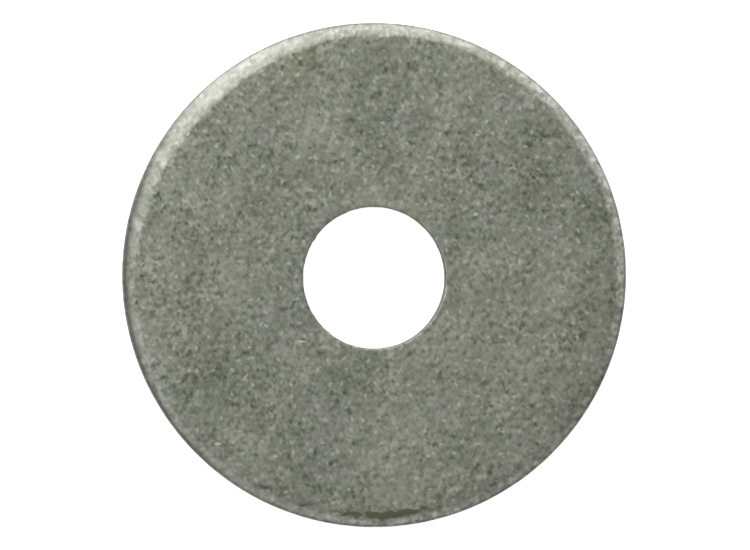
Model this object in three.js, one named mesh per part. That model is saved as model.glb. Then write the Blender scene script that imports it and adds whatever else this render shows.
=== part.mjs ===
// A large flat washer ("fender" or "penny" washer), stamped in one stroke from sheet steel.
//
// Millimetres, +Z up. The origin is on the bore's axis, in the plane of the bottom face.
// The die cut the rim from above and the punch cut the bore from below, so the rim is rolled
// over on the top face and the bore is rolled over on the bottom face.

import * as THREE from "three";

// Nominal size: 1 in across, with a 9/32 in hole for a 1/4 in bolt, in 1/16 in sheet.
const OUTER_DIAMETER = 25.4;
const BORE_DIAMETER = 7.14;
const THICKNESS = 1.6;
const RIM_RUNOUT = 0.14; // the rim's centre lies this far from the bore's axis, towards +Y

// Each cut edge has a roll, where the sheet was drawn down before it sheared, then a wall:
// a band sheared clean, and one that broke away and leans back.
const RIM_EDGE = { rollWidth: 0.6, rollDepth: 0.22, breakLean: 0.06 };
const BORE_EDGE = { rollWidth: 0.26, rollDepth: 0.1, breakLean: 0.03 };
const SHEARED_SHARE = 0.4; // of the thickness left under the roll
const ROLL_FULLNESS = 1.45; // 1 is a quarter ellipse, and more is closer to a bevel
const ROLL_STEPS = 6;

const SEGMENTS = 96;
const STEEL = { color: 0x8e9185, metalness: 0.9, roughness: 0.5 };

const outerRadius = OUTER_DIAMETER / 2;
const boreRadius = BORE_DIAMETER / 2;

// The points of a rolled edge, from the cut wall to the face, as distances from each.
function rollPoints({ rollWidth, rollDepth }) {
  const points = [];
  for (let step = 0; step <= ROLL_STEPS; step++) {
    const turn = (step / ROLL_STEPS) * (Math.PI / 2);
    points.push({
      fromWall: rollWidth * (1 - Math.cos(turn) ** ROLL_FULLNESS),
      fromFace: rollDepth * (1 - Math.sin(turn)),
    });
  }
  return points;
}

// One cut edge, from the broken corner to the rolled corner: how far each point stands back
// from the sheared wall, and its height above the broken corner.
function cutEdge(edge) {
  const breakHeight = (THICKNESS - edge.rollDepth) * (1 - SHEARED_SHARE);
  return [
    { back: edge.breakLean, height: 0 },
    { back: 0, height: breakHeight },
    ...rollPoints(edge).map(({ fromWall, fromFace }) => ({
      back: fromWall,
      height: THICKNESS - fromFace,
    })),
  ];
}

// The washer's section, counter-clockwise: up the rim, then down the bore, and closed.
function washerSection() {
  const rim = cutEdge(RIM_EDGE).map(
    ({ back, height }) => new THREE.Vector2(outerRadius - back, height),
  );
  const bore = cutEdge(BORE_EDGE).map(
    ({ back, height }) =>
      new THREE.Vector2(boreRadius + back, THICKNESS - height),
  );
  return [...rim, ...bore, rim[0].clone()];
}

// Moves the rim, and leaves the bore on its axis.
function shiftRim(geometry, distance) {
  const position = geometry.getAttribute("position");
  const middleRadius = (outerRadius + boreRadius) / 2;
  for (let i = 0; i < position.count; i++) {
    if (Math.hypot(position.getX(i), position.getY(i)) > middleRadius) {
      position.setY(i, position.getY(i) + distance);
    }
  }
  return geometry;
}

// The lathe turns its section about Y, so the ring is stood up onto Z.
function washerGeometry() {
  const ring = new THREE.LatheGeometry(washerSection(), SEGMENTS);
  ring.rotateX(Math.PI / 2);
  return shiftRim(ring, RIM_RUNOUT);
}

const washer = new THREE.Mesh(
  washerGeometry(),
  new THREE.MeshStandardMaterial(STEEL),
);
washer.name = "washer";

const flatWasher = new THREE.Group();
flatWasher.add(washer);

export default flatWasher;
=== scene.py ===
"""A stamped flat washer, tumbled to a dull grey, on a pale studio floor. Metres, +Z up.

The bore's axis is Z and the bottom face is at z = 0. The die rolled the rim over on the top
face, and the punch rolled the bore over on the bottom face.

The washer is one closed skin, a grid of points. Its rows go up the rim, across the top face,
down the bore and back across the bottom face, and each row runs once round the washer.
"""

import math

import bpy
import numpy as np
from mathutils import Matrix, Vector


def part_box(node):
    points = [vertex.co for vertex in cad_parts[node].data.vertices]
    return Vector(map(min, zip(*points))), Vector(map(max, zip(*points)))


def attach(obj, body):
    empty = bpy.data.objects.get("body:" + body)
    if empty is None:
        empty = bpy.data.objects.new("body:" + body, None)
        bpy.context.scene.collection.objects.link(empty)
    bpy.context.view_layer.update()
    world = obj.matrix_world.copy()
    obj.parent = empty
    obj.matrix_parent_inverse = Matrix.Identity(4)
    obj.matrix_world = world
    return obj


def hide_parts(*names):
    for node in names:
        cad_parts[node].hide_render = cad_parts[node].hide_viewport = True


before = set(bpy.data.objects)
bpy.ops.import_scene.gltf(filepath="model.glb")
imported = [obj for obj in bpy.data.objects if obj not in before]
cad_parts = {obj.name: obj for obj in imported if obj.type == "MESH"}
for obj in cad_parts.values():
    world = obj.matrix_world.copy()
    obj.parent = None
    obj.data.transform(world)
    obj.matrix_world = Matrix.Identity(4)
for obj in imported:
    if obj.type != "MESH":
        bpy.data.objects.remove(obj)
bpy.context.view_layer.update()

MM = 0.001
MICRON = 0.000001


# --- Sizes read from the CAD washer ---------------------------------------------------------

def nearest_to_axis(node):
    """How near the node's mesh comes to the Z axis."""
    points = np.empty(len(node.data.vertices) * 3)
    node.data.vertices.foreach_get("co", points)
    points = points.reshape(-1, 3)
    return float(np.hypot(points[:, 0], points[:, 1]).min())


low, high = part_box("washer")
RIM_CENTRE = Vector(((low.x + high.x) / 2, (low.y + high.y) / 2))
RIM_RADIUS = (high.x - low.x) / 2
BORE_RADIUS = nearest_to_axis(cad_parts["washer"])
THICKNESS = high.z - low.z


# --- The stamped shape: sizes ---------------------------------------------------------------

# A cut edge's roll is this wide and deep, and more by a share of each where the die's
# clearance was largest. The wall under it leans back to a corner that tumbling has rounded.
RIM_EDGE = {
    "width": 0.575 * MM, "widening": 0.75, "depth": 0.21 * MM, "deepening": 0.78,
    "lean": 0.06 * MM, "corner": 0.025 * MM,
}
BORE_EDGE = {
    "width": 0.26 * MM, "widening": 0.2, "depth": 0.10 * MM, "deepening": 0.2,
    "lean": 0.03 * MM, "corner": 0.012 * MM,
}
ROLL_WIDEST = math.radians(137)
ROLL_WIDE_SPREAD = 0.17  # how far round the extra width reaches
ROLL_DEEPEST = math.radians(155)
ROLL_DEEP_SPREAD = 0.5
ROLL_UNEVENNESS = 0.04  # of its width and depth
UNEVEN_WAVELENGTH = 4 * MM
ROLL_FULLNESS = 1.45  # 1 is a quarter ellipse, and more is closer to a bevel
SHEARED_SHARE = 0.4  # of the wall under the roll
RAGGED_HEIGHT = 0.06 * MM  # how far the line between the two bands of the wall wanders
RAGGED_WAVELENGTH = 1.2 * MM

# The die also drew the top face down a little inside the roll, most at the upper right.
SAG_DEPTH = 0.03 * MM
SAG_REACH = 0.8 * MM
SAG_DEEPENING = 0.8
SAG_DEEPEST = math.radians(40)
SAG_SPREAD = 0.35

# How the skin departs from the clean stamped shape: (height in microns, wavelength in mm).
SWELL = [(3.0, 6.0), (1.2, 2.0), (0.7, 0.7)]  # all over the faces and the rolls
KNOCKS = [(4.5, 0.9), (1.5, 0.35)]  # along the rolls
DRAG_LINES = [(1.5, 0.20), (1.0, 0.45)]  # down the sheared walls
TEARS = [(9.0, 0.45)]  # on the broken walls
DRAG_SQUEEZE = (1, 1, 0.05)  # squeezing the height draws the ripples out down the wall
TEAR_SQUEEZE = (1, 1, 0.6)
RIPPLE_WAVES = 40
RIPPLE_PITCHES = (0.7, 1.3)  # the least and the most, as a share of the wavelength's pitch

# Dents from tumbling: how many there are at each place, and the height of their centres.
DENTS = {
    "top": (150, THICKNESS),
    "bottom": (60, 0.0),
    "rim": (70, THICKNESS - 0.1 * MM),
}
DENT_SPREAD = (0.09, 0.92)  # where they start and end, as a share of the disc's area
RIM_DENT_BAND = 0.7 * MM  # how far inside the outline the rim's dents reach
DENT_RADII = (0.14 * MM, 0.42 * MM)
DENT_DEPTHS = (0.008, 0.03)  # as a share of the dent's radius, like the next three sizes
BOWL_WIDTH = math.sqrt(0.5)
LIP_MIDDLE = 1.25
LIP_WIDTH = 0.3
LIP_HEIGHT = 0.3  # as a share of the dent's depth

# How far the rolls' and corners' look differs from the faces'.
ROLL_FADE = 0.5  # radians of the roll's turn over which its look fades into the face
CORNER_RUBBED = 0.3

# Knocks along the roll are fewest at the upper left, and a painted highlight lightens it most
# there, on the side that faces the key light.
KNOCKED_MEAN = 0.6
KNOCKED_SWING = 0.4
KNOCKED_LEAST = math.radians(155)
PAINTED_HIGHLIGHT_MIDDLE = math.radians(128)
PAINTED_HIGHLIGHT_SPREAD = 0.05

# Grime lies in a line just inside the roll at the lower rim.
GRIME_INSIDE = 0.64 * MM  # from the rim's outline
GRIME_HALF_WIDTH = 0.26 * MM
GRIME_MIDDLE = math.radians(-88)
GRIME_PATCH = math.radians(10.5)  # the thick part, each way from the middle
GRIME_TRAIL = math.radians(42)
GRIME_ENDS = 4  # the power of the bells along it, so that both end quickly
TRAIL_STRENGTH = 0.45

# The first seed of each random field. A list of ripples takes one more for each of its steps.
SEEDS = {
    "rim": 11, "bore": 21, "swell": 31, "dents": 41, "knocks": 51, "drag_lines": 61, "tears": 71,
}

# The grid: points round the washer, and rows across each stretch of its section.
ANGLE_STEPS = 660
TOP_ROWS = 76
BOTTOM_ROWS = 20
ROLL_ROWS = 14
SHEAR_ROWS = 4
BREAK_ROWS = 6
CORNER_ROWS = 3

ROLL_TURN = np.linspace(0, math.pi / 2, ROLL_ROWS)[:, None]
theta = np.linspace(0, 2 * math.pi, ANGLE_STEPS, endpoint=False)
heading = np.stack([np.cos(theta), np.sin(theta)], axis=1)


# --- The stamped shape: fields over the washer ----------------------------------------------

def ripple(points, wavelength, seed):
    """A smooth random field of about unit size, with bumps half a wavelength across."""
    draw = np.random.default_rng(seed)
    way = draw.normal(size=(RIPPLE_WAVES, points.shape[-1]))
    way /= np.linalg.norm(way, axis=1, keepdims=True)
    pitch = 2 * math.pi / wavelength * draw.uniform(*RIPPLE_PITCHES, size=(RIPPLE_WAVES, 1))
    phase = draw.uniform(0, 2 * math.pi, size=RIPPLE_WAVES)
    total = np.cos(points @ (way * pitch).T + phase).sum(axis=-1)
    return total * math.sqrt(2 / RIPPLE_WAVES)


def waves(points, steps, seed):
    """The sum of one ripple for each step."""
    total = 0.0
    for number, (height, wavelength) in enumerate(steps):
        total = total + height * MICRON * ripple(points, wavelength * MM, seed + number)
    return total


def bell(value, width, power=2):
    """1 at zero, fading away on both sides. A higher power makes its top flatter."""
    return np.exp(-((value / width) ** power))


def bulge(angle, middle, spread):
    """1 at the middle angle, fading away on both sides of it."""
    return np.exp((np.cos(angle - middle) - 1) / spread)


def bearing(points):
    """Each point's angle round the bore's axis, from +X towards +Y."""
    return np.arctan2(points[..., 1], points[..., 0])


def wrapped(angle):
    """The same angle between -pi and pi."""
    return (angle + math.pi) % (2 * math.pi) - math.pi


def inside_rim(points):
    """How far each point lies inside the rim's outline, seen from above."""
    return RIM_RADIUS - np.hypot(points[..., 0] - RIM_CENTRE.x, points[..., 1] - RIM_CENTRE.y)


# --- The stamped shape: its section ---------------------------------------------------------

def stack(across, height):
    """Rows of (across, height), each with one entry for every angle."""
    across, height = np.broadcast_arrays(across + 0 * theta, height + 0 * theta)
    return np.stack([across, height], axis=2)


def corner_rows(lean, radius):
    """The broken corner's small round, from the face to the wall."""
    turn = np.linspace(0, math.pi / 2, CORNER_ROWS)[:, None]
    return stack(lean + radius * (1 - np.sin(turn)), radius * (1 - np.cos(turn)))


def wall_rows(start, end, count):
    """Rows from one (back, height) to another, without the first and the last."""
    share = np.linspace(0, 1, count + 2)[1:-1, None]
    return stack(
        start[0] + share * (end[0] - start[0]), start[1] + share * (end[1] - start[1])
    )


def roll_rows(width, depth):
    """The rolled corner, from the sheared wall to the face."""
    back = width * (1 - np.maximum(np.cos(ROLL_TURN), 0) ** ROLL_FULLNESS)
    return stack(back, THICKNESS - depth * (1 - np.sin(ROLL_TURN)))


def cut_edge(edge, radius, seed):
    """One cut edge, from its broken corner to its rolled one, as rows of (back, height).

    back is how far a point stands behind the sheared wall, height is from the broken face.
    Also gives the zone that each row belongs to.
    """
    around = heading * radius
    uneven = 1 + ROLL_UNEVENNESS * ripple(around, UNEVEN_WAVELENGTH, seed)
    wider = 1 + edge["widening"] * bulge(theta, ROLL_WIDEST, ROLL_WIDE_SPREAD)
    deeper = 1 + edge["deepening"] * bulge(theta, ROLL_DEEPEST, ROLL_DEEP_SPREAD)
    width = edge["width"] * uneven * wider
    depth = edge["depth"] * uneven * deeper
    ragged = RAGGED_HEIGHT * ripple(around, RAGGED_WAVELENGTH, seed + 1)
    roll_height = THICKNESS - depth
    break_height = roll_height * (1 - SHEARED_SHARE) + ragged
    stretches = {
        "corner": corner_rows(edge["lean"], edge["corner"]),
        "broken": wall_rows((edge["lean"], edge["corner"]), (0, break_height), BREAK_ROWS),
        "sheared": wall_rows((0, break_height), (0, roll_height), SHEAR_ROWS),
        "roll": roll_rows(width, depth),
    }
    zones = [zone for zone, rows in stretches.items() for _ in rows]
    return np.concatenate(list(stretches.values())), zones


def face_rows(start, end, height, count):
    """Rows of (radius, height) across a flat face, without the first and the last."""
    share = np.linspace(0, 1, count + 2)[1:-1, None]
    return stack(start + share * (end - start), height)


def washer_rows():
    """The whole skin as rows of (radius, height), and the zone of each row."""
    rim, rim_zones = cut_edge(RIM_EDGE, RIM_RADIUS, SEEDS["rim"])
    bore, bore_zones = cut_edge(BORE_EDGE, BORE_RADIUS, SEEDS["bore"])
    rim[..., 0] = RIM_RADIUS - rim[..., 0]
    bore[..., 0] = BORE_RADIUS + bore[..., 0]
    bore[..., 1] = THICKNESS - bore[..., 1]
    top = face_rows(rim[-1, :, 0], bore[0, :, 0], THICKNESS, TOP_ROWS)
    bottom = face_rows(bore[-1, :, 0], rim[0, :, 0], 0.0, BOTTOM_ROWS)
    zones = rim_zones + ["top"] * TOP_ROWS + bore_zones + ["bottom"] * BOTTOM_ROWS
    return np.concatenate([rim, top, bore, bottom]), np.array(zones)


def placed(rows):
    """Points in space. A ring's centre moves from the bore's axis to the rim's as it widens."""
    radius, height = rows[..., 0], rows[..., 1]
    share = np.clip((radius - BORE_RADIUS) / (RIM_RADIUS - BORE_RADIUS), 0, 1)
    x = radius * heading[:, 0] + share * RIM_CENTRE.x
    y = radius * heading[:, 1] + share * RIM_CENTRE.y
    return np.stack([x, y, height], axis=2)


# --- The stamped shape: its relief and marks ------------------------------------------------

def relief(points, zones):
    """How far each point stands out from the clean stamped shape."""
    on = {zone: (zones == zone)[:, None] for zone in set(zones)}
    height = waves(points, SWELL, SEEDS["swell"]) * ~(on["sheared"] | on["broken"])
    height += waves(points, KNOCKS, SEEDS["knocks"]) * on["roll"]
    height += waves(points * DRAG_SQUEEZE, DRAG_LINES, SEEDS["drag_lines"]) * on["sheared"]
    height += waves(points * TEAR_SQUEEZE, TEARS, SEEDS["tears"]) * on["broken"]
    deeper = 1 + SAG_DEEPENING * bulge(bearing(points), SAG_DEEPEST, SAG_SPREAD)
    sag = SAG_DEPTH * deeper * bell(inside_rim(points), SAG_REACH)
    return height - sag * (on["top"] | on["roll"]) * (points[..., 2] > THICKNESS / 2)


def dents(points, centres, radii, depths):
    """How far in each point is pressed by a set of shallow dents with raised lips."""
    pressed = np.zeros(points.shape[:2])
    for centre, radius, depth in zip(centres, radii, depths):
        far = np.linalg.norm(points - centre, axis=2) / radius
        pressed += depth * bell(far, BOWL_WIDTH)
        pressed -= LIP_HEIGHT * depth * bell(far - LIP_MIDDLE, LIP_WIDTH)
    return pressed


def scattered_dents(points):
    """Dents all over both faces and along the rolled rim."""
    draw = np.random.default_rng(SEEDS["dents"])
    pressed = np.zeros(points.shape[:2])
    for place, (count, height) in DENTS.items():
        angle = draw.uniform(0, 2 * math.pi, count)
        radius = RIM_RADIUS * np.sqrt(draw.uniform(*DENT_SPREAD, count))
        if place == "rim":
            radius = RIM_RADIUS - draw.uniform(0, RIM_DENT_BAND, count)
        centres = np.stack(
            [radius * np.cos(angle), radius * np.sin(angle), np.full(count, height)], axis=1
        )
        sizes = draw.uniform(*DENT_RADII, count)
        depths = sizes * draw.uniform(*DENT_DEPTHS, count)
        pressed += dents(points, centres, sizes, depths)
    return pressed


def edge_weights(zones):
    """1 on the rolled edges, where tumbling rubbed the grain away, and 0 on the faces."""
    weights = np.where(zones == "corner", CORNER_RUBBED, 0.0)
    fade = np.clip((math.pi / 2 - ROLL_TURN[:, 0]) / ROLL_FADE, 0, 1)
    weights[zones == "roll"] = np.concatenate([fade, fade])  # the rim's roll, then the bore's
    return weights


def grime_weights(points):
    """How much grime settled at each point of the top face."""
    away = wrapped(bearing(points) - GRIME_MIDDLE)
    line = bell(inside_rim(points) - GRIME_INSIDE, GRIME_HALF_WIDTH)
    patch = bell(away, GRIME_PATCH, GRIME_ENDS)
    trail = TRAIL_STRENGTH * bell(away, GRIME_TRAIL, GRIME_ENDS)
    return np.maximum(patch, trail) * line * (points[..., 2] > THICKNESS / 2)


def skin_marks(points, zones):
    """The numbers that the material reads at each point, by name."""
    knocked = KNOCKED_MEAN - KNOCKED_SWING * np.cos(bearing(points) - KNOCKED_LEAST)
    # Painted highlight: where along the roll it lies, at the upper left, facing the key light.
    painted_highlight = bulge(bearing(points), PAINTED_HIGHLIGHT_MIDDLE, PAINTED_HIGHLIGHT_SPREAD)
    edge = edge_weights(zones)[:, None]
    return {
        "broken": (zones == "broken")[:, None],
        "sheared": (zones == "sheared")[:, None],
        "edge": edge,
        "knocked": edge * knocked,
        "painted_highlight": edge * painted_highlight,
        "grime": grime_weights(points),
    }


# --- The stamped shape: its mesh ------------------------------------------------------------

def outward(points):
    """The outward direction at each point of the closed grid."""
    along = np.roll(points, -1, axis=1) - np.roll(points, 1, axis=1)
    across = np.roll(points, -1, axis=0) - np.roll(points, 1, axis=0)
    normal = np.cross(along, across)
    return normal / np.linalg.norm(normal, axis=2, keepdims=True)


def grid_faces(rows, columns):
    """Quads of a grid that closes on itself both ways, facing out."""
    index = np.arange(rows * columns).reshape(rows, columns)
    right = np.roll(index, -1, axis=1)
    up = np.roll(index, -1, axis=0)
    diagonal = np.roll(right, -1, axis=0)
    return np.stack([index, right, diagonal, up], axis=2).reshape(-1, 4)


def washer_mesh():
    """The detailed washer, with its marks kept as attributes for the material."""
    rows, zones = washer_rows()
    clean = placed(rows)
    out = relief(clean, zones) - scattered_dents(clean)
    points = clean + outward(clean) * out[..., None]
    points[..., 2] = np.maximum(points[..., 2], 0.0)
    mesh = bpy.data.meshes.new("washer_skin")
    mesh.from_pydata(points.reshape(-1, 3), [], grid_faces(*points.shape[:2]))
    for name, weights in skin_marks(clean, zones).items():
        values = np.broadcast_to(weights, points.shape[:2]).astype(float).reshape(-1)
        mesh.attributes.new(name, "FLOAT", "POINT").data.foreach_set("value", values)
    mesh.shade_smooth()
    mesh.validate()
    return mesh


# --- The steel: colours and sizes -----------------------------------------------------------

STEEL_LIGHT = (0.450, 0.460, 0.399, 1)
STEEL_DARK = (0.098, 0.108, 0.072, 1)
STEEL_NICKED = (0.134, 0.144, 0.104, 1)
STEEL_RUBBED = (0.390, 0.394, 0.360, 1)
# Bright bare steel of the sheared band, the knocks and the light scratches; also the colour of
# the painted highlight on the rolls.
STEEL_BRIGHT = (0.500, 0.505, 0.460, 1)
STEEL_BROKEN = (0.220, 0.226, 0.190, 1)
GRIME = (0.122, 0.130, 0.090, 1)
FILM_COOL = (0.994, 0.994, 1.044, 1)
FILM_WARM = (1.006, 1.006, 0.952, 1)

NOISE_MIDDLE = 0.5

# Grain and dimples are each a mean of noises, with cells longer than they are wide.
GRAIN_SIZES = (0.155 * MM, 0.185 * MM, 0.22 * MM)
GRAIN_RANGE = (-0.2, 0.2)
DIMPLE_SIZES = (0.30 * MM, 0.40 * MM)
DIMPLE_HEIGHT = 15 * MICRON
CELL_SQUEEZE = (0.55, 1, 1)  # squeezing the noise's X makes its cells longer that way
CELL_TURN = 1.0  # radians from each noise to the next

# Strands follow a level of a wandering noise: the level, half the line's width, its strength.
STRAND_SIZE = 0.33 * MM
STRAND_DISTORTION = 0.4
LIGHT_STRAND = (0.47, 0.06, 0.10)
DARK_STRAND = (0.55, 0.05, 0.065)

# The grain is stronger in some patches than in others, over a broad mottle.
PATCH_SIZE = 1.5 * MM
PATCH_RANGE = (0.3, 0.7)
PATCH_STRENGTHS = (0.60, 1.12)
MOTTLE_SIZE = 2.8 * MM
MOTTLE_STRENGTH = 0.18
TONE_RANGE = (-0.24, 0.31)  # the tones of the dark and the light steel
FILM_SIZE = 4.0 * MM
FILM_RANGE = (0.25, 0.75)

# Short scratches: how far apart their cells are, their size, and the share of cells with one.
DARK_STROKES = {"spacing": 0.65 * MM, "length": 0.32 * MM, "width": 0.18 * MM, "share": 0.5}
LIGHT_STROKES = {"spacing": 0.6 * MM, "length": 0.32 * MM, "width": 0.18 * MM, "share": 0.6}
DARK_STRENGTH = 0.15
LIGHT_STRENGTH = 0.30
CELL_SHIFT = 10  # moves each set of cells by its own distance, so that no two sets agree
SCRATCH_CORE = 0.4  # the share of a scratch, from its middle, that has its full strength

# The larger scratches: centre in mm, direction in degrees, length and width in mm.
DARK_MARKS = [
    ((8.5, 7.0), 31, 1.3, 0.16),
    ((-7.9, 5.1), 90, 0.50, 0.14),
    ((-3.45, -10.4), -20, 0.65, 0.15),
    ((-2.7, -11.2), -50, 0.50, 0.14),
]
LIGHT_MARKS = [
    ((-7.9, -8.35), 2, 0.46, 0.22),
    ((-3.7, -3.2), 0, 0.75, 0.13),
    ((-6.5, -5.0), 55, 0.60, 0.13),
    ((5.1, 3.2), 20, 0.35, 0.20),
]

# The rolls are rubbed and carry a painted highlight at the upper left, and their knocks are
# bright or, in their pits, dark.
RUBBED_STRENGTH = 0.4
PAINTED_HIGHLIGHT_STRENGTH = 0.22
KNOCK_SIZE = 0.32 * MM
KNOCK_RANGE = (0.04, 0.14)  # how far off its middle the noise is at a knock's edge and core
BARED_STRENGTH = 0.7
PITTED_STRENGTH = 0.5
ROLL_CALM = 0.5  # how much of the dimples is left on the rolls

# The grime's outline is ragged. It is solid in its middle and a thin film round that.
GRIME_GRAIN = 0.5 * MM
GRIME_SQUEEZE = (0.55, 1, 1)
GRIME_SHIFT = (3.5 * MM, 2.3 * MM, 0)  # picks the stretch of noise that the outline follows
GRIME_RAGGEDNESS = 2.8
THIN_RANGE = (0.1, 0.7)
THIN_STRENGTH = 0.25
SOLID_RANGE = (0.62, 0.74)

ROUGHNESSES = (0.50, 0.42)  # in the grain's pits, and on its tops
BROKEN_ROUGHNESS = 0.7
BROKEN_METALLIC = 0.4


# --- The steel: its nodes -------------------------------------------------------------------

class Graph:
    """A short way to write a material's nodes."""

    def __init__(self, name):
        self.material = bpy.data.materials.new(name)
        self.material.use_nodes = True
        self.tree = self.material.node_tree
        self.tree.nodes.clear()

    def node(self, kind, inputs, **settings):
        """Adds a node and gives its outputs. An input is a value, or another node's output."""
        made = self.tree.nodes.new("ShaderNode" + kind)
        for key, value in settings.items():
            setattr(made, key, value)
        for key, value in inputs.items():
            if isinstance(value, bpy.types.NodeSocket):
                self.tree.links.new(value, made.inputs[key])
            else:
                made.inputs[key].default_value = value
        return made.outputs

    def math(self, operation, *values):
        """One sum, product or other operation on values."""
        return self.node("Math", dict(enumerate(values)), operation=operation)[0]

    def vector(self, operation, *values):
        """One sum, product or other operation on two vectors."""
        return self.node("VectorMath", dict(enumerate(values)), operation=operation)[0]

    def noise(self, where, size, **more):
        """Smooth noise round NOISE_MIDDLE, with cells of this size in metres."""
        return self.node("TexNoise", {"Vector": where, "Scale": 1 / size, **more})["Fac"]

    def spread(self, value, start, end, low=0.0, high=1.0):
        """Maps start to end onto low to high, and stops there."""
        limits = {"From Min": start, "From Max": end, "To Min": low, "To Max": high}
        return self.node("MapRange", {"Value": value, **limits})[0]

    def mix(self, share, first, second, **settings):
        """A colour between two colours, or another blend of the second into the first."""
        inputs = {0: share, 6: first, 7: second}
        return self.node("Mix", inputs, data_type="RGBA", **settings)[2]

    def attribute(self, name):
        """A number that the mesh holds at each point."""
        return self.node("Attribute", {}, attribute_name=name)["Fac"]


def blend(graph, where, sizes):
    """The mean of noises with near sizes, which has softer and less regular cells than one."""
    total = 0.0
    for number, size in enumerate(sizes, start=1):
        inputs = {"Vector": where, "Angle": number * CELL_TURN}
        turned = graph.node("VectorRotate", inputs)[0]
        drawn = graph.node("Mapping", {"Vector": turned, "Scale": CELL_SQUEEZE})[0]
        total = graph.math("ADD", total, graph.noise(drawn, size, Detail=0.0))
    return graph.math("DIVIDE", total, len(sizes))


def strand(graph, wander, level, half_width, strength):
    """A line along one level of the noise."""
    gap = graph.math("ABSOLUTE", graph.math("SUBTRACT", wander, level))
    return graph.spread(gap, 0.0, half_width, strength, 0.0)


def strands(graph, where):
    """Fine wandering lines, each light with a dark one beside it."""
    wander = graph.noise(where, STRAND_SIZE, Detail=0.0, Distortion=STRAND_DISTORTION)
    light = strand(graph, wander, *LIGHT_STRAND)
    return graph.math("SUBTRACT", light, strand(graph, wander, *DARK_STRAND))


def scratch(graph, offset, turn, length, width):
    """1 on a scratch through the origin of offset, and 0 away from it."""
    inputs = {"Vector": offset, "Angle": turn}
    turned = graph.node("VectorRotate", inputs, rotation_type="Z_AXIS")[0]
    squeezed = graph.vector("MULTIPLY", turned, (2 / length, 2 / width, 0))
    far = graph.node("VectorMath", {0: squeezed}, operation="LENGTH")["Value"]
    return graph.spread(far, SCRATCH_CORE, 1.0, 1.0, 0.0)


def strokes(graph, where, spacing, length, width, share):
    """Short scratches in random directions, one in a share of the cells: 1 on a scratch."""
    shift = (CELL_SHIFT * length, CELL_SHIFT * spacing, 0)
    shifted = graph.vector("ADD", where, shift)
    inputs = {"Vector": shifted, "Scale": 1 / spacing}
    cells = graph.node("TexVoronoi", inputs, voronoi_dimensions="2D")
    draw = graph.node("SeparateColor", {"Color": cells["Color"]})
    offset = graph.vector("SUBTRACT", shifted, cells["Position"])
    turn = graph.math("MULTIPLY", draw["Red"], math.pi)
    chosen = graph.math("SQRT", graph.spread(draw["Green"], 0.0, share, 1.0, 0.0))
    return graph.math("MULTIPLY", scratch(graph, offset, turn, length, width), chosen)


def placed_strokes(graph, where, marks):
    """The larger scratches, each where it lies: 1 on a scratch."""
    total = 0.0
    for (x, y), degrees, length, width in marks:
        offset = graph.vector("SUBTRACT", where, (x * MM, y * MM, 0))
        mark = scratch(graph, offset, -math.radians(degrees), length * MM, width * MM)
        total = graph.math("MAXIMUM", total, mark)
    return total


def tumbled_tone(graph, where, grain):
    """How light the steel is: grain that comes and goes, over broad mottling, and scratches."""
    patches = graph.noise(where, PATCH_SIZE, Detail=1.0)
    strength = graph.spread(patches, *PATCH_RANGE, *PATCH_STRENGTHS)
    fine = graph.math("ADD", grain, strands(graph, where))
    mottle = graph.noise(where, MOTTLE_SIZE, Detail=2.0, Roughness=0.62)
    broad = graph.spread(mottle, 0.0, 1.0, -MOTTLE_STRENGTH, MOTTLE_STRENGTH)
    tone = graph.math("ADD", graph.math("MULTIPLY", fine, strength), broad)
    dark = strokes(graph, where, **DARK_STROKES)
    dark = graph.math("ADD", dark, placed_strokes(graph, where, DARK_MARKS))
    light = strokes(graph, where, **LIGHT_STROKES)
    tone = graph.math("SUBTRACT", tone, graph.math("MULTIPLY", dark, DARK_STRENGTH))
    return graph.math("ADD", tone, graph.math("MULTIPLY", light, LIGHT_STRENGTH))


def face_colour(graph, where, tone):
    """The tones as colours, with a faint drift between cool and warm, like a trace of oil."""
    colour = graph.mix(graph.spread(tone, *TONE_RANGE), STEEL_DARK, STEEL_LIGHT)
    drift = graph.noise(where, FILM_SIZE, Detail=5.0, Roughness=0.65)
    film = graph.mix(graph.spread(drift, *FILM_RANGE), FILM_COOL, FILM_WARM)
    colour = graph.mix(1.0, colour, film, blend_type="MULTIPLY")
    return graph.mix(placed_strokes(graph, where, LIGHT_MARKS), colour, STEEL_BRIGHT)


def with_rolls(graph, where, colour):
    """The colour with the rolls rubbed and knocked, and with a painted highlight on them at the
    upper left.
    """
    rubbed = graph.math("MULTIPLY", graph.attribute("edge"), RUBBED_STRENGTH)
    painted_highlight = graph.math("MULTIPLY", graph.attribute("painted_highlight"), PAINTED_HIGHLIGHT_STRENGTH)
    knock = graph.noise(where, KNOCK_SIZE, Detail=1.0)
    knock = graph.math("SUBTRACT", knock, NOISE_MIDDLE)
    knock = graph.math("MULTIPLY", knock, graph.attribute("knocked"))
    least, most = KNOCK_RANGE
    bared = graph.spread(knock, least, most, 0.0, BARED_STRENGTH)
    pitted = graph.spread(knock, -least, -most, 0.0, PITTED_STRENGTH)
    colour = graph.mix(rubbed, colour, STEEL_RUBBED)
    # Painted highlight: lightens the rolls at the upper left, where the key light falls on them.
    colour = graph.mix(painted_highlight, colour, STEEL_BRIGHT)
    colour = graph.mix(bared, colour, STEEL_BRIGHT)
    return graph.mix(pitted, colour, STEEL_NICKED)


def with_grime(graph, where, colour):
    """The colour with the line of grime at the lower rim."""
    inputs = {"Vector": where, "Scale": GRIME_SQUEEZE, "Location": GRIME_SHIFT}
    drawn = graph.node("Mapping", inputs)[0]
    ragged = graph.noise(drawn, GRIME_GRAIN, Detail=4.0, Roughness=0.6)
    ragged = graph.math("SUBTRACT", ragged, NOISE_MIDDLE)
    ragged = graph.math("MULTIPLY", ragged, GRIME_RAGGEDNESS)
    soiled = graph.math("ADD", graph.attribute("grime"), ragged)
    colour = graph.mix(graph.spread(soiled, *THIN_RANGE, 0.0, THIN_STRENGTH), colour, GRIME)
    return graph.mix(graph.spread(soiled, *SOLID_RANGE), colour, GRIME)


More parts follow.
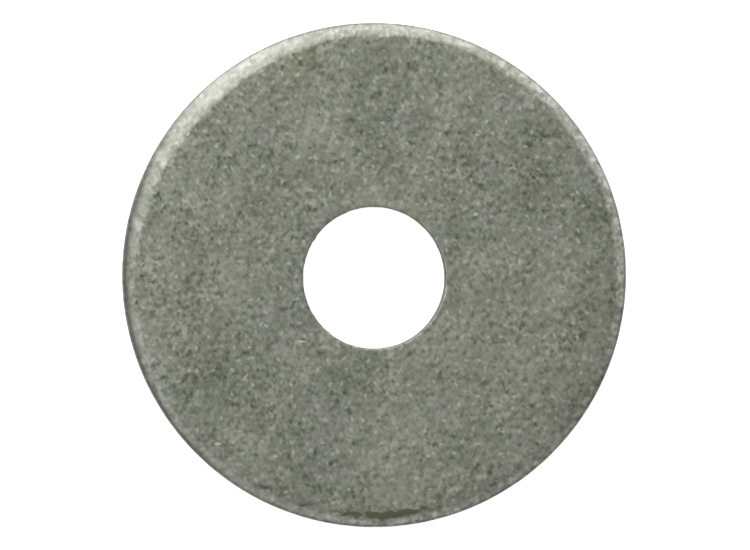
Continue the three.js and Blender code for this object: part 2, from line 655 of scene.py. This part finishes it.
def steel_colour(graph, where, grain):
    """The faces, then the rolls, the two bands of the walls, and the grime."""
    colour = face_colour(graph, where, tumbled_tone(graph, where, grain))
    colour = with_rolls(graph, where, colour)
    colour = graph.mix(graph.attribute("sheared"), colour, STEEL_BRIGHT)
    colour = graph.mix(graph.attribute("broken"), colour, STEEL_BROKEN)
    return with_grime(graph, where, colour)


def dimpled(graph, where):
    """A surface direction with shallow dimples, which the rolls have less of."""
    calm = graph.spread(graph.attribute("edge"), 0.0, 1.0, 1.0, ROLL_CALM)
    dimple = graph.math("MULTIPLY", blend(graph, where, DIMPLE_SIZES), calm)
    inputs = {"Strength": 1.0, "Distance": DIMPLE_HEIGHT, "Height": dimple}
    return graph.node("Bump", inputs)["Normal"]


def steel_roughness(graph, grain):
    """Rougher in the grain's pits, and roughest where the wall broke."""
    torn = graph.math("MULTIPLY", graph.attribute("broken"), BROKEN_ROUGHNESS)
    return graph.math("MAXIMUM", graph.spread(grain, *GRAIN_RANGE, *ROUGHNESSES), torn)


def tumbled_steel():
    """Dull steel: worm-like tumbling grain, faint mottling, and darker torn walls."""
    graph = Graph("tumbled_steel")
    here = graph.node("TexCoord", {})["Object"]
    grain = graph.math("SUBTRACT", blend(graph, here, GRAIN_SIZES), NOISE_MIDDLE)
    surface = graph.node("BsdfPrincipled", {
        "Base Color": steel_colour(graph, here, grain),
        "Metallic": graph.spread(graph.attribute("broken"), 0.0, 1.0, 1.0, BROKEN_METALLIC),
        "Roughness": steel_roughness(graph, grain),
        "Normal": dimpled(graph, here),
    })
    graph.node("OutputMaterial", {"Surface": surface["BSDF"]})
    return graph.material


# --- The scene ------------------------------------------------------------------------------

FLOOR_REACH = 1.5
FLOOR_DROP = 0.002 * MM  # keeps it clear of the washer's bottom face
FLOOR_WHITE = (0.85, 0.85, 0.85, 1)
FLOOR_GLOW = 0.78

LENS = 400
SENSOR = 36
PICTURE_SHAPE = 750 / 550
WASHER_SHARE = 0.916  # of the picture's height that the washer fills
CAMERA_TILT = 2.0  # degrees off the washer's axis, towards -X
AIM_OFFSET = Vector((0.05 * MM, 0, 0))  # how far off the washer's middle the camera looks
NEAREST_SEEN = 0.01
FURTHEST_SEEN = 5

LIGHT_DISTANCE = 1.0
BOX_SIZE = 0.5
WORLD_RADIANCE = 0.06

# Soft boxes: an arc over the top of the washer, a weaker one opposite, and three low down that
# the steep outer part of the roll shows. Each is azimuth and elevation in degrees, and radiance.
LIGHTS = {
    "key": (120, 45, 3.85),
    "key_high": (143, 68, 2.3),
    "top": (90, 45, 1.5),
    "top_right": (62, 45, 2.25),
    "right": (20, 45, 2.2),
    "left": (203, 56, 1.15),
    "low_left": (240, 50, 0.8),
    "low": (270, 45, 1.0),
    "low_right": (300, 45, 1.05),
    "horizon_left": (125, 12, 3.5),
    "horizon_top": (80, 13, 3.5),
    "horizon_right": (40, 12, 1.7),
}


def add(name, data):
    """Puts an object with this data in the scene."""
    made = bpy.data.objects.new(name, data)
    bpy.context.scene.collection.objects.link(made)
    return made


def make_washer():
    """The detailed washer, which takes the place of the CAD one."""
    washer = add("stamped_washer", washer_mesh())
    washer.data.materials.append(tumbled_steel())
    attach(washer, "root")
    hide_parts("washer")


def floor_paint():
    """Matt white. The camera sees it lit from below, which keeps the shadows faint."""
    graph = Graph("floor_paint")
    matt = graph.node("BsdfDiffuse", {"Color": FLOOR_WHITE})[0]
    seen = graph.node("LightPath", {})["Is Camera Ray"]
    glow = graph.node("Emission", {"Strength": graph.math("MULTIPLY", seen, FLOOR_GLOW)})[0]
    both = graph.node("AddShader", {0: matt, 1: glow})[0]
    graph.node("OutputMaterial", {"Surface": both})
    return graph.material


def make_floor():
    """A wide square floor under the washer."""
    corners = [(-1, -1), (1, -1), (1, 1), (-1, 1)]
    mesh = bpy.data.meshes.new("floor")
    mesh.from_pydata(
        [(FLOOR_REACH * x, FLOOR_REACH * y, 0) for x, y in corners], [], [(0, 1, 2, 3)]
    )
    floor = add("floor", mesh)
    floor.location.z = -FLOOR_DROP
    floor.data.materials.append(floor_paint())


def aim(thing, back):
    """Turns a camera or lamp to look against this direction, with +Y up in its picture."""
    right = Vector((0, 1, 0)).cross(back).normalized()
    upward = back.cross(right)
    thing.rotation_mode = "QUATERNION"
    thing.rotation_quaternion = Matrix((right, upward, back)).transposed().to_quaternion()


def direction(azimuth, elevation):
    """A unit vector: azimuth is from +X towards +Y, elevation is above the floor, in degrees."""
    a, e = math.radians(azimuth), math.radians(elevation)
    return Vector((math.cos(a) * math.cos(e), math.sin(a) * math.cos(e), math.sin(e)))


def make_camera():
    """A long lens nearly straight above the washer, with +Y up in the picture."""
    data = bpy.data.cameras.new("camera")
    data.lens = LENS
    data.sensor_width = SENSOR
    data.clip_start = NEAREST_SEEN
    data.clip_end = FURTHEST_SEEN
    camera = add("camera", data)
    seen_width = 2 * RIM_RADIUS / WASHER_SHARE * PICTURE_SHAPE
    back = direction(180, 90 - CAMERA_TILT)
    target = Vector((RIM_CENTRE.x, RIM_CENTRE.y, THICKNESS / 2)) + AIM_OFFSET
    camera.location = target + back * (seen_width * LENS / SENSOR)
    aim(camera, back)
    bpy.context.scene.camera = camera


def make_light(name, azimuth, elevation, radiance):
    """A square soft box. radiance is what a mirror would show of it."""
    data = bpy.data.lights.new(name, "AREA")
    data.size = BOX_SIZE
    data.energy = radiance * math.pi * BOX_SIZE**2
    light = add(name, data)
    light.visible_camera = False
    back = direction(azimuth, elevation)
    light.location = back * LIGHT_DISTANCE
    aim(light, back)


def make_world():
    """A dim, even light, which the camera sees as white."""
    world = bpy.data.worlds.new("studio")
    world.use_nodes = True
    nodes, links = world.node_tree.nodes, world.node_tree.links
    background = nodes["Background"]
    background.inputs["Color"].default_value = (1, 1, 1, 1)
    path = nodes.new("ShaderNodeLightPath")
    strength = nodes.new("ShaderNodeMapRange")
    strength.inputs["To Min"].default_value = WORLD_RADIANCE
    strength.inputs["To Max"].default_value = 1.0
    links.new(path.outputs["Is Camera Ray"], strength.inputs["Value"])
    links.new(strength.outputs[0], background.inputs["Strength"])
    bpy.context.scene.world = world


make_washer()
make_floor()
make_camera()
for light_name, light in LIGHTS.items():
    make_light(light_name, *light)
make_world()
bpy.context.scene.view_settings.view_transform = "Standard"
